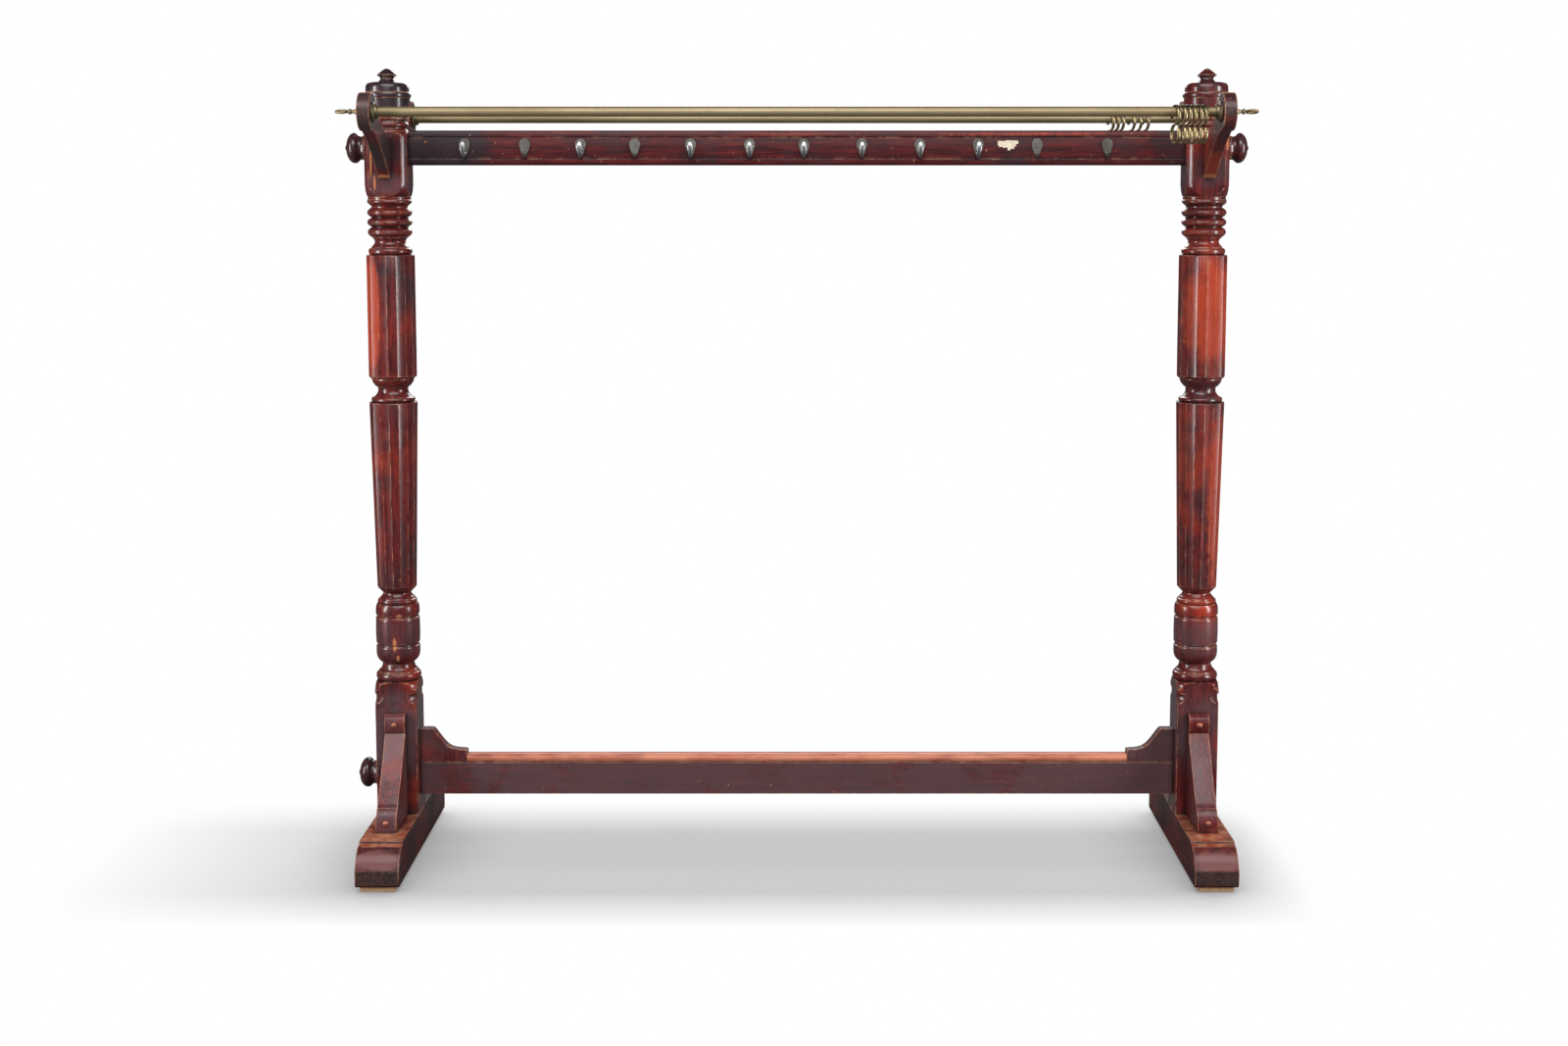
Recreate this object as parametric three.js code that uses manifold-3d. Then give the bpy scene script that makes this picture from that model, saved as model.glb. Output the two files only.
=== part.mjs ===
// A Victorian mahogany robing stand: two turned posts on trestle feet, joined by a hook rail and a
// lower rail, with four arms that carry two brass hanging rails, one in front and one behind.
// Millimetres, +Z up. The origin is on the floor under the middle; +X runs along the rails and
// -Y is the front. The stand is the same front and back.
import * as THREE from 'three';
import { mergeVertices } from 'three/addons/utils/BufferGeometryUtils.js';
import Module from 'manifold-3d';

const wasm = await Module();
wasm.setup();

// ---- Driving dimensions ----
const FIT = 0.3; // the air left between two pieces that touch
const POST_X = 945; // each post's centre, out from the middle
const POST_TOP = 1821; // where the turned drum ends and the finial sits
const POST = 98; // side of the square post blocks, 4 inch stock planed clean
const HALF_POST = POST / 2;
const FOOT = { width: 100, half: 305, top: 103, bottom: 11.3 };
const PAD = { width: 80, length: 120, inset: 10 };
const TOP_RAIL = { low: 1630, high: 1710, thick: 28 };
const LOW_RAIL = { low: 142, high: 219, thick: 28 };
const CAP_MOULD = { thick: 36, tall: 19 };
const SPAN = POST_X - HALF_POST - FIT; // half the clear length between the posts
const RAIL = { radius: 11, y: 240, z: 1745 }; // the two 7/8 inch brass rails
const ARM_THICK = 28;
const DISC_RADIUS = 42;
const BOLT = { radius: 7, hole: 8, intoRail: 40, high: 1670, low: 192 };

const MAHOGANY = { color: 0x4a1a17, roughness: 0.35, metalness: 0 };
const PINE = { color: 0xd2a26c, roughness: 0.8, metalness: 0 };
const BRASS = { color: 0x9c8a55, roughness: 0.35, metalness: 1 };
const PEWTER = { color: 0x8b8780, roughness: 0.45, metalness: 1 };

const stand = new THREE.Group();
stand.name = 'robing_stand';

function addPiece(name, geometry, finish) {
  geometry.computeVertexNormals();
  const mesh = new THREE.Mesh(geometry, new THREE.MeshStandardMaterial(finish));
  mesh.name = name;
  stand.add(mesh);
}

// ---- Ways of making a solid ----
// Turned on a lathe: pairs of [radius, height], which start and end on the axis.
function turned(profile, segments = 24) {
  const points = profile.map(([radius, height]) => new THREE.Vector2(radius, height));
  return new THREE.LatheGeometry(points, segments).rotateX(Math.PI / 2);
}

// Sawn from a board: an outline in Y and Z, thick along X and centred on it.
function sawnAcrossX(outline, thick, curveSegments = 6) {
  const sawn = new THREE.ExtrudeGeometry(outline, { depth: thick, bevelEnabled: false, curveSegments });
  const turn = new THREE.Matrix4().set(0, 0, 1, -thick / 2, 1, 0, 0, 0, 0, 1, 0, 0, 0, 0, 0, 1);
  return sawn.applyMatrix4(turn);
}

// Sawn from a board: an outline in X and Z, thick along Y and centred on it.
function sawnAcrossY(outline, thick) {
  const sawn = new THREE.ExtrudeGeometry(outline, { depth: thick, bevelEnabled: false, curveSegments: 8 });
  return sawn.rotateX(Math.PI / 2).translate(0, thick / 2, 0);
}

function outlineThrough(points) {
  return new THREE.Shape(points.map(([across, up]) => new THREE.Vector2(across, up)));
}

function mirrored(geometry, x, y) {
  const copy = geometry.clone().applyMatrix4(new THREE.Matrix4().makeScale(x, y, 1));
  if (x * y > 0) return copy;
  const order = copy.index ? copy.index.array : null;
  const values = order ?? copy.attributes.position.array;
  const step = order ? 1 : 3;
  for (let face = 0; face < values.length; face += 3 * step) {
    for (let k = 0; k < step; k += 1) {
      const held = values[face + step + k];
      values[face + step + k] = values[face + 2 * step + k];
      values[face + 2 * step + k] = held;
    }
  }
  return copy;
}

function toManifold(geometry) {
  const bare = geometry.clone();
  bare.deleteAttribute('normal');
  bare.deleteAttribute('uv');
  const welded = mergeVertices(bare, 1e-3);
  const vertProperties = new Float32Array(welded.attributes.position.array);
  const triVerts = new Uint32Array(welded.index.array);
  return new wasm.Manifold(new wasm.Mesh({ numProp: 3, vertProperties, triVerts }));
}

function fromManifold(solid) {
  const mesh = solid.getMesh();
  const geometry = new THREE.BufferGeometry();
  geometry.setAttribute('position', new THREE.BufferAttribute(new Float32Array(mesh.vertProperties), 3));
  geometry.setIndex(new THREE.BufferAttribute(new Uint32Array(mesh.triVerts), 1));
  return geometry;
}

function cut(body, tools) {
  return fromManifold(tools.reduce((left, tool) => left.subtract(toManifold(tool)), toManifold(body)));
}

// A round bar along X between two ends.
function barAlongX(radius, from, to, y, z, segments = 16) {
  const bar = turned([[0, 0], [radius, 0], [radius, to - from], [0, to - from]], segments);
  return bar.rotateY(Math.PI / 2).translate(from, y, z);
}

// ---- The posts ----
// A post is a stack of level sections, each a ring of sixteen points: sixteen-sided, as the shafts
// and the turnings are drawn, or square.
const AROUND = 16;

function roundSection(z, radius) {
  const ring = [];
  for (let k = 0; k < AROUND; k += 1) {
    const angle = (k / AROUND) * 2 * Math.PI;
    ring.push([radius * Math.cos(angle), radius * Math.sin(angle), z]);
  }
  return ring;
}

function squareSection(z, half, chamfer) {
  const ring = [];
  for (let k = 0; k < AROUND; k += 1) {
    const side = Math.floor((k + 2) / 4) % 4;
    const along = ((k + 2) % 4) - 2;
    const corner = along === -2;
    const across = corner ? -(half - chamfer / 2) : (half - chamfer) * along;
    const out = corner ? half - chamfer / 2 : half;
    const [c, s] = [[1, 0], [0, 1], [-1, 0], [0, -1]][side];
    ring.push([out * c - across * s, out * s + across * c, z]);
  }
  return ring;
}

// Joins the sections, bottom first, and closes both ends with a flat fan.
function stack(sections) {
  const points = sections.flat(2);
  const faces = [];
  for (let row = 0; row < sections.length - 1; row += 1) {
    for (let k = 0; k < AROUND; k += 1) {
      const next = (k + 1) % AROUND;
      const [a, b] = [row * AROUND + k, row * AROUND + next];
      const [c, d] = [a + AROUND, b + AROUND];
      faces.push(a, b, d, a, d, c);
    }
  }
  const foot = points.length / 3;
  points.push(0, 0, sections[0][0][2], 0, 0, sections.at(-1)[0][2]);
  const lastRow = (sections.length - 1) * AROUND;
  for (let k = 0; k < AROUND; k += 1) {
    const next = (k + 1) % AROUND;
    faces.push(foot, next, k, foot + 1, lastRow + k, lastRow + next);
  }
  const geometry = new THREE.BufferGeometry();
  geometry.setAttribute('position', new THREE.Float32BufferAttribute(points, 3));
  geometry.setIndex(faces);
  return geometry;
}

const SPIGOT = { radius: 8, depth: 18 }; // the peg under each post finial
const round = (pairs) => pairs.map(([z, radius]) => roundSection(z, radius));
const square = (rows) => rows.map(([z, half, chamfer]) => squareSection(z, half, chamfer));

const postSections = [
  // base block, with a stopped tongue cut into each upper corner
  ...square([[FOOT.top + FIT, 49, 3], [367, 49, 3], [381, 49, 12], [393, 49, 12], [398, 49, 7]]),
  ...square([[406, 49, 9], [411, 49, 16], [420, 48.5, 22]]),
  // bead and cove, then the plain barrel between its two grooves
  ...round([[422, 51], [439, 51], [444, 45], [460, 37.5], [465, 40], [471, 48]]),
  ...round([[479, 51], [502, 51], [507, 48.8], [512, 51], [570, 51]]),
  ...round([[575, 48.8], [580, 51], [592, 50.5], [605, 44.5], [616, 38], [627, 32.5]]),
  // lower sixteen-sided shaft, tapering downwards, cut back hard at its foot
  ...round([[631, 34], [644, 46.5], [1080, 56.5]]),
  ...round([[1080.5, 49.5], [1088, 47], [1092, 42], [1101, 36.5], [1109, 34.8], [1125, 45], [1137, 48.5]]),
  // upper shaft
  ...round([[1137.5, 53], [1141, 56.3], [1424, 56.3]]),
  ...round([[1424.5, 49.5], [1433, 50], [1441, 45], [1454, 35.5], [1461, 39]]),
  // the four beads under the top block
  ...round([[1469, 50], [1480, 50], [1490, 43.3], [1496, 50.5], [1503, 50.5], [1511, 43.6]]),
  ...round([[1518, 50.5], [1526, 50.5], [1536, 43.4], [1544, 51.5], [1557, 51.5]]),
  // top block, chamfered down its corners, with the chamfers widening into a stop below
  ...square([[1559, 47.5, 21], [1568, 48.6, 17], [1584, 49, 10], [1700, 49, 10], [1706, 46, 14]]),
  // turned capital and drum
  ...round([[1708, 46], [1713, 42], [1718, 46.5], [1726, 46.5], [1731, 43], [1744, 49.5]]),
  ...round([[1752, 51], [1785, 51], [1787, 53.7], [1795, 53.7], [1798, 49.8], [1810, 49.3], [1815, 47]]),
  ...round([[POST_TOP, 24], [POST_TOP, SPIGOT.radius + FIT]]),
  ...round([[POST_TOP - SPIGOT.depth - FIT, SPIGOT.radius + FIT]]),
];
const postStock = stack(postSections);

for (const [side, x] of [['left', -1], ['right', 1]]) {
  const holes = [BOLT.high, BOLT.low].map((z) => barAlongX(BOLT.hole, -POST, POST, 0, z, 12));
  addPiece(`${side}_post`, cut(postStock, holes).translate(x * POST_X, 0, 0), MAHOGANY);
  const finial = turned([
    [0, -SPIGOT.depth], [SPIGOT.radius, -SPIGOT.depth], [SPIGOT.radius, FIT], [18.5, FIT], [15.5, 3],
    [15.5, 8], [19, 11], [23, 14], [22, 17], [8, 28], [4, 30.5], [0, 31],
  ], 16);
  addPiece(`${side}_post_finial`, finial.translate(x * POST_X, 0, POST_TOP), MAHOGANY);
}

// ---- Feet, pads and braces ----
// Flat on top, then a small step and a bullnose down to a square end, the same at both ends.
const footNose = [
  [6, FOOT.bottom], [0, 17], [0, 50], [3, 62], [10, 76], [22, 88], [38, 94.5], [54, 97], [57, FOOT.top],
];
const footEnd = footNose.map(([inset, z]) => [-FOOT.half + inset, z]);
const otherFootEnd = footEnd.map(([y, z]) => [-y, z]).reverse();
const footOutline = outlineThrough([...footEnd, ...otherFootEnd]);
const footStock = sawnAcrossX(footOutline, FOOT.width);

const padStock = new THREE.BoxGeometry(PAD.width, PAD.length, FOOT.bottom - FIT);

// Seen from the side: back edge on the post, foot on the trestle, a stepped pad at each end and a
// hollow between. Measured forward from the post's face and up from the foot.
const BRACE = { width: 47, tall: 245, reach: 144 };
const braceOutline = new THREE.Shape();
braceOutline.moveTo(-FIT, FIT);
braceOutline.lineTo(-BRACE.reach, FIT);
braceOutline.quadraticCurveTo(-BRACE.reach + 2, 30, -BRACE.reach + 17, 49);
braceOutline.lineTo(-BRACE.reach + 21, 51);
braceOutline.bezierCurveTo(-82, 92, -50, 140, -15, 200);
braceOutline.lineTo(-19, 203);
braceOutline.quadraticCurveTo(-25, 226, -12, BRACE.tall - 4);
braceOutline.lineTo(-FIT, BRACE.tall);
const braceStock = sawnAcrossX(braceOutline, BRACE.width).translate(0, -HALF_POST, FOOT.top);

for (const [side, x] of [['left', -1], ['right', 1]]) {
  addPiece(`${side}_foot`, footStock.clone().translate(x * POST_X, 0, 0), MAHOGANY);
  for (const [end, y] of [['front', 1], ['rear', -1]]) {
    const padY = -y * (FOOT.half - PAD.inset - PAD.length / 2);
    const pad = padStock.clone().translate(x * POST_X, padY, (FOOT.bottom - FIT) / 2);
    addPiece(`${end}_${side}_floor_pad`, pad, PINE);
    addPiece(`${end}_${side}_brace`, mirrored(braceStock, 1, y).translate(x * POST_X, 0, 0), MAHOGANY);
  }
}

// ---- The wooden rails ----
// Section of the hook rail in Y and Z: bevelled corners and a scratched line near each edge.
function railSection(low, high, thick) {
  const half = thick / 2;
  const side = [[half, low + 5], [half, low + 14], [half - 2, low + 16], [half, low + 18]];
  const upperSide = [[half, high - 18], [half - 2, high - 16], [half, high - 14], [half, high - 5]];
  const front = [...side, ...upperSide];
  const back = front.map(([y, z]) => [-y, z]).reverse();
  return outlineThrough([[half - 5, low], ...front, [half - 5, high], [-half + 5, high], ...back, [-half + 5, low]]);
}

const boltHoles = (z) => [-1, 1].map((x) => {
  const [near, far] = [SPAN - BOLT.intoRail, SPAN + 20].map((reach) => x * reach);
  return barAlongX(BOLT.hole, Math.min(near, far), Math.max(near, far), 0, z, 12);
});

const hookRail = sawnAcrossX(railSection(TOP_RAIL.low, TOP_RAIL.high, TOP_RAIL.thick), 2 * SPAN);
addPiece('top_rail', cut(hookRail, boltHoles(BOLT.high)), MAHOGANY);

const lowRail = new THREE.BoxGeometry(2 * SPAN, LOW_RAIL.thick, LOW_RAIL.high - LOW_RAIL.low);
lowRail.translate(0, 0, (LOW_RAIL.low + LOW_RAIL.high) / 2);
addPiece('bottom_rail', cut(lowRail, boltHoles(BOLT.low)), MAHOGANY);

// Shaped brackets stand on the lower rail against the posts; the capping runs between them.
const BRACKET = { length: 111, tall: 81, tip: 29 };
const bracketOutline = new THREE.Shape();
bracketOutline.moveTo(0, 0);
bracketOutline.lineTo(BRACKET.length, 0);
bracketOutline.lineTo(BRACKET.length, BRACKET.tip);
bracketOutline.lineTo(BRACKET.length - 24, BRACKET.tip + 2);
bracketOutline.bezierCurveTo(62, 34, 56, 50, 34, BRACKET.tall - 2);
bracketOutline.lineTo(30, BRACKET.tall);
bracketOutline.lineTo(0, BRACKET.tall);
const bracketStock = sawnAcrossY(bracketOutline, 26).translate(-SPAN, 0, LOW_RAIL.high + FIT);
addPiece('left_rail_bracket', bracketStock.clone(), MAHOGANY);
addPiece('right_rail_bracket', mirrored(bracketStock, -1, 1), MAHOGANY);

const capHalf = CAP_MOULD.thick / 2;
const capOutline = new THREE.Shape();
capOutline.moveTo(-capHalf + 4, 0);
capOutline.lineTo(capHalf - 4, 0);
capOutline.lineTo(capHalf - 4, 4);
capOutline.bezierCurveTo(capHalf + 1, 6, capHalf + 1, 16, capHalf - 6, CAP_MOULD.tall);
capOutline.lineTo(-capHalf + 6, CAP_MOULD.tall);
capOutline.bezierCurveTo(-capHalf - 1, 16, -capHalf - 1, 6, -capHalf + 4, 4);
const capLength = 2 * (SPAN - BRACKET.length - FIT);
const capping = sawnAcrossX(capOutline, capLength).translate(0, 0, LOW_RAIL.high + FIT);
addPiece('bottom_rail_capping', capping, MAHOGANY);

// ---- Turned knobs on the bolts that draw each rail up to its post ----
const knobProfile = [
  [0, -POST - FIT - BOLT.intoRail + 4], [BOLT.radius, -POST - FIT - BOLT.intoRail + 4], [BOLT.radius, FIT],
  [31, FIT], [31.5, 4], [28, 8], [27, 15], [31, 20], [35, 27], [34.5, 33], [28, 41], [14, 46], [6, 48],
  [4, 51.5], [0, 52.5],
];
const knobStock = turned(knobProfile, 14).rotateY(Math.PI / 2).translate(POST_X + HALF_POST, 0, 0);
addPiece('left_top_knob', mirrored(knobStock, -1, 1).translate(0, 0, BOLT.high), MAHOGANY);
addPiece('right_top_knob', knobStock.clone().translate(0, 0, BOLT.high), MAHOGANY);
addPiece('left_bottom_knob', mirrored(knobStock, -1, 1).translate(0, 0, BOLT.low), MAHOGANY);

// ---- Arms, brass roses, brass rails and their end loops ----
const toDisc = (degrees) => {
  const angle = THREE.MathUtils.degToRad(degrees);
  return [-RAIL.y + DISC_RADIUS * Math.cos(angle), RAIL.z + DISC_RADIUS * Math.sin(angle)];
};
const armOutline = new THREE.Shape();
armOutline.moveTo(-HALF_POST - FIT, 1610);
armOutline.lineTo(-HALF_POST - FIT, 1694);
armOutline.bezierCurveTo(-HALF_POST - 60, 1700, -RAIL.y + 76, RAIL.z - 20, ...toDisc(8));
armOutline.absarc(-RAIL.y, RAIL.z, DISC_RADIUS, THREE.MathUtils.degToRad(16), THREE.MathUtils.degToRad(284), false);
armOutline.bezierCurveTo(-RAIL.y + 36, 1697, -112, 1650, -64, 1602);
armOutline.quadraticCurveTo(-56, 1597, -HALF_POST - FIT, 1610);
const armBore = new THREE.Path();
armBore.absarc(-RAIL.y, RAIL.z, RAIL.radius + 1, 0, 2 * Math.PI, true);
armOutline.holes.push(armBore);
const armStock = sawnAcrossX(armOutline, ARM_THICK, 16);

// A washer-shaped casting with a raised collar, closed on itself around its bore.
const roseStock = turned([
  [RAIL.radius + 1, 0], [23, 0], [23, 3], [19, 5], [17, 6], [16, 12], [RAIL.radius + 1, 12], [RAIL.radius + 1, 0],
], 14).rotateY(Math.PI / 2);

// The end loop: a flared neck, a collar and an eye, made as one casting that caps the tube's end.
const LOOP = { major: 12, minor: 3, neck: 26 };
const loopNeck = turned([
  [0, 0], [10.5, 0], [9.5, 3], [5, 12], [3.6, 18], [6.5, 19], [6.5, 23], [3.6, 24], [3.6, LOOP.neck + 3],
  [0, LOOP.neck + 3],
], 10).rotateY(Math.PI / 2);
const loopEye = new THREE.TorusGeometry(LOOP.major, LOOP.minor, 5, 14);
loopEye.rotateX(THREE.MathUtils.degToRad(12)).translate(LOOP.neck + LOOP.major + 1.5, 0, 0);
const loopStock = fromManifold(toManifold(loopNeck).add(toManifold(loopEye)));

const railEnd = POST_X + ARM_THICK / 2 + FIT;
const railStock = barAlongX(RAIL.radius, -railEnd, railEnd, -RAIL.y, RAIL.z, 20);

for (const [end, y] of [['front', 1], ['rear', -1]]) {
  addPiece(`${end}_brass_rail`, mirrored(railStock, 1, y), BRASS);
  for (const [side, x] of [['left', -1], ['right', 1]]) {
    addPiece(`${end}_${side}_arm`, mirrored(armStock, 1, y).translate(x * POST_X, 0, 0), MAHOGANY);
    const roseX = -x * (ARM_THICK / 2 + FIT) + x * POST_X;
    addPiece(`${end}_${side}_rose`, mirrored(roseStock, -x, 1).translate(roseX, -y * RAIL.y, RAIL.z), BRASS);
    const loop = mirrored(loopStock, x, 1).translate(x * (railEnd + FIT), -y * RAIL.y, RAIL.z);
    addPiece(`${end}_${side}_rail_loop`, loop, BRASS);
  }
}

// ---- Coat hooks on the front of the top rail ----
const HOOK = { z: 1671, plate: 3.2 };
const plateOutline = new THREE.Shape();
plateOutline.moveTo(0, -19);
plateOutline.bezierCurveTo(9, -19, 7, -9, 11, 0);
plateOutline.bezierCurveTo(16, 11, 9, 20, 0, 20);
plateOutline.bezierCurveTo(-9, 20, -16, 11, -11, 0);
plateOutline.bezierCurveTo(-7, -9, -9, -19, 0, -19);
const plateStock = new THREE.ExtrudeGeometry(plateOutline, { depth: HOOK.plate, bevelEnabled: false, curveSegments: 4 });
const plate = plateStock.rotateX(Math.PI / 2).translate(0, 0, HOOK.z);

// Stations down the prong: forward of the plate, height, half width and half thickness.
const prongStations = [
  [1, -12, 6, 2.2], [7, -19, 4.2, 2.2], [17, -22, 3.4, 2], [26, -17, 3.6, 1.8], [31, -7, 5, 1.6],
  [31.5, 2, 6.2, 1.4], [30, 9, 5, 1.2], [29, 13, 1.8, 1],
];
function prong(stations) {
  const path = stations.map(([out, up]) => new THREE.Vector2(-out, up));
  const sides = 6;
  const points = [];
  stations.forEach(([, , wide, thick], k) => {
    const before = path[Math.max(k - 1, 0)];
    const after = path[Math.min(k + 1, path.length - 1)];
    const along = after.clone().sub(before).normalize();
    for (let j = 0; j < sides; j += 1) {
      const angle = (j / sides) * 2 * Math.PI;
      const off = thick * Math.sin(angle);
      points.push(wide * Math.cos(angle), path[k].x + off * along.y, path[k].y - off * along.x);
    }
  });
  const faces = [];
  for (let row = 0; row < stations.length - 1; row += 1) {
    for (let j = 0; j < sides; j += 1) {
      const [a, b] = [row * sides + j, row * sides + ((j + 1) % sides)];
      faces.push(a, b, b + sides, a, b + sides, a + sides);
    }
  }
  const last = (stations.length - 1) * sides;
  for (let j = 1; j < sides - 1; j += 1) faces.push(0, j + 1, j, last, last + j, last + j + 1);
  const geometry = new THREE.BufferGeometry();
  geometry.setAttribute('position', new THREE.Float32BufferAttribute(points, 3));
  geometry.setIndex(faces);
  return geometry.translate(0, -HOOK.plate, HOOK.z);
}
const wholeHook = fromManifold(toManifold(plate).add(toManifold(prong(prongStations))));
const brokenHook = fromManifold(toManifold(plate).add(toManifold(prong(prongStations.slice(0, 2)))));

// Where each was screwed on, left to right, and whether its prong has snapped off.
const coatHooks = [
  [-767], [-628, 'broken'], [-499], [-374, 'broken'], [-245], [-109], [16], [150], [284], [418],
  [554, 'broken'], [716, 'broken'],
];
coatHooks.forEach(([x, state], k) => {
  const hook = (state ? brokenHook : wholeHook).clone();
  hook.translate(x, -TOP_RAIL.thick / 2 - FIT, 0);
  addPiece(`coat_hook_${String(k + 1).padStart(2, '0')}`, hook, PEWTER);
});

// ---- S-hooks hanging on the brass rails ----
// A flat strip: over the rail from behind, down in front, back under it, then a second loop in front.
const STRIP = { wide: 7, thick: 3.5, radius: 20.7, yaw: 12 };
const ARC_STEPS = 10;
function sHook() {
  const upper = new THREE.Vector2(0, 0);
  const lower = new THREE.Vector2(0, -2 * STRIP.radius);
  const centreline = [];
  const addArc = (centre, from, to, steps) => {
    for (let k = 0; k <= steps; k += 1) {
      const angle = THREE.MathUtils.degToRad(from + ((to - from) * k) / steps);
      centreline.push([centre, angle]);
    }
  };
  addArc(upper, -20, 270, ARC_STEPS);
  addArc(lower, 80, -215, ARC_STEPS);
  const edge = (side) => centreline.map(([centre, angle], k) => {
    const away = k <= ARC_STEPS ? side : -side;
    const reach = STRIP.radius + (away * STRIP.thick) / 2;
    return [centre.x + reach * Math.cos(angle), centre.y + reach * Math.sin(angle)];
  });
  return sawnAcrossX(outlineThrough([...edge(1), ...edge(-1).reverse()]), STRIP.wide);
}
const halfStep = THREE.MathUtils.degToRad(290 / ARC_STEPS / 2);
const clearReach = (STRIP.radius - STRIP.thick / 2) * Math.cos(halfStep); // to the middle of a flat
const hangZ = RAIL.z + RAIL.radius + 2 * FIT - clearReach;
const sHookStock = sHook().rotateZ(THREE.MathUtils.degToRad(STRIP.yaw));
const bunches = { front: [831, 846, 857, 868, 881, 892], rear: [762, 774, 786, 812, 828, 846] };
for (const [end, y] of [['front', -1], ['rear', 1]]) {
  bunches[end].forEach((x, k) => {
    addPiece(`${end}_s_hook_${k + 1}`, sHookStock.clone().translate(x, y * RAIL.y, hangZ), BRASS);
  });
}

export default stand;
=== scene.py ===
# %% [markdown]
# # A mahogany robing stand
# A robing stand holds the long robes of a vestry. Two turned posts stand on trestle feet. A rail of
# coat hooks and a low rail join them, and four arms carry a brass hanging rail in front and behind.
# The joiner's plan, with every part's place and its joints, is loaded first. Everything made below
# is fitted to that plan, so it can be moved and posed like the real stand.

# %% Load the plan
import math

import bpy
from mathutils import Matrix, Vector


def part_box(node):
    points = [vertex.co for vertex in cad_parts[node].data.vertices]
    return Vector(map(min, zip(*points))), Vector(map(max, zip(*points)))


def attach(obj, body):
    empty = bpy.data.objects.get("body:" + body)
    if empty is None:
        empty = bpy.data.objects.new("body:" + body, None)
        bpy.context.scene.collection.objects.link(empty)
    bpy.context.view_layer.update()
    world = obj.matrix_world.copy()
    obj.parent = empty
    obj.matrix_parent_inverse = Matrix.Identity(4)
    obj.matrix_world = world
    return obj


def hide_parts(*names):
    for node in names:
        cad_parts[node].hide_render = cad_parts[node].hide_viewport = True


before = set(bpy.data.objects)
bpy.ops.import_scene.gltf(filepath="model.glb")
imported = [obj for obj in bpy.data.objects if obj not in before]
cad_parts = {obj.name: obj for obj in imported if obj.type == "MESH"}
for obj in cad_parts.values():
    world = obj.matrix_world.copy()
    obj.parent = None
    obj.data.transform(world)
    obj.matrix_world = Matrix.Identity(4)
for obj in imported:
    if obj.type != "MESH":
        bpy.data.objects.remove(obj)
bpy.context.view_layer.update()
scene = bpy.context.scene
print("parts in the plan:", len(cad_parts))

# %% [markdown]
# ## Measuring from the plan
# A joiner works in millimetres, so the plan's boxes are read in millimetres, and each finished
# mesh is scaled to metres once, when it is made.

# %% Read the plan's sizes
MM = 0.001


def box_mm(node):
    low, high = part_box(node)
    return low / MM, high / MM


def middle(node):
    low, high = box_mm(node)
    return (low + high) / 2


POST_X = middle("right_post").x
FOOT_LOW, FOOT_HIGH = box_mm("right_foot")
FOOT_TOP = FOOT_HIGH.z
HALF_BLOCK = 49.0
POST_FOOT, POST_TOP = box_mm("right_post")[0].z, box_mm("right_post")[1].z
RAIL_Y = middle("rear_brass_rail").y
RAIL_Z = middle("rear_brass_rail").z
RAIL_RADIUS = (box_mm("rear_brass_rail")[1].z - box_mm("rear_brass_rail")[0].z) / 2
print("posts at", round(POST_X), "mm from the middle, brass rails at", round(RAIL_Z), "mm high")

# %% [markdown]
# ## Ways of drawing curves
# Turnings and sawn shapes are drawn from a few points. One helper runs a smooth line through the
# points, as a bent lath would. Two others draw a bezier sweep and an arc of a circle.


# %% Curves
def through(points, steps=5):
    """A smooth line through the points (Catmull-Rom)."""
    ends = [points[0], *points, points[-1]]
    line = [points[0]]
    for before, start, stop, after in zip(ends, ends[1:], ends[2:], ends[3:]):
        for step in range(1, steps + 1):
            t = step / steps
            line.append(tuple(
                0.5 * (2 * b + (c - a) * t
                       + (2 * a - 5 * b + 4 * c - d) * t * t
                       + (3 * b - a - 3 * c + d) * t ** 3)
                for a, b, c, d in zip(before, start, stop, after)))
    return line


def bezier(start, pull_out, pull_in, stop, steps=14):
    line = []
    for step in range(steps + 1):
        t = step / steps
        s = 1 - t
        weights = (s ** 3, 3 * s * s * t, 3 * s * t * t, t ** 3)
        corners = (start, pull_out, pull_in, stop)
        line.append(tuple(sum(w * p[axis] for w, p in zip(weights, corners)) for axis in (0, 1)))
    return line


def arc(centre, radius, first, last, steps=24):
    """Points on a circle from one angle to another, in degrees."""
    angles = [math.radians(first + (last - first) * step / steps) for step in range(steps + 1)]
    return [(centre[0] + radius * math.cos(a), centre[1] + radius * math.sin(a)) for a in angles]


print("a quarter circle of radius 10 ends at", [round(value, 3) for value in arc((0, 0), 10, 0, 90)[-1]])

# %% [markdown]
# ## Ways of making a solid
# Every piece is a mesh made here from points and faces. A loft joins rings of points, which makes
# turned work and bent metal. A board is an outline with thickness, and its edges get a small
# rounding, because no worked edge stays sharp.


# %% From points to a finished piece
def make_piece(name, points, faces, finish, body, stands_for=(), rounding=0.0, crease=30, slot="mahogany"):
    mesh = bpy.data.meshes.new(name)
    mesh.from_pydata([[value * MM for value in point] for point in points], [], faces)
    mesh.validate()
    mesh.shade_smooth()
    mesh.set_sharp_from_angle(angle=math.radians(crease))
    mesh.materials.append(finish)
    piece = bpy.data.objects.new(name, mesh)
    scene.collection.objects.link(piece)
    if rounding:
        soften = piece.modifiers.new("rounded_edges", "BEVEL")
        soften.width = rounding * MM
        soften.segments = 3
        soften.limit_method = "ANGLE"
        soften.angle_limit = math.radians(crease)
        soften.harden_normals = True
    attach(piece, body)
    if stands_for:
        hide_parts(stands_for)
    return piece


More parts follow.
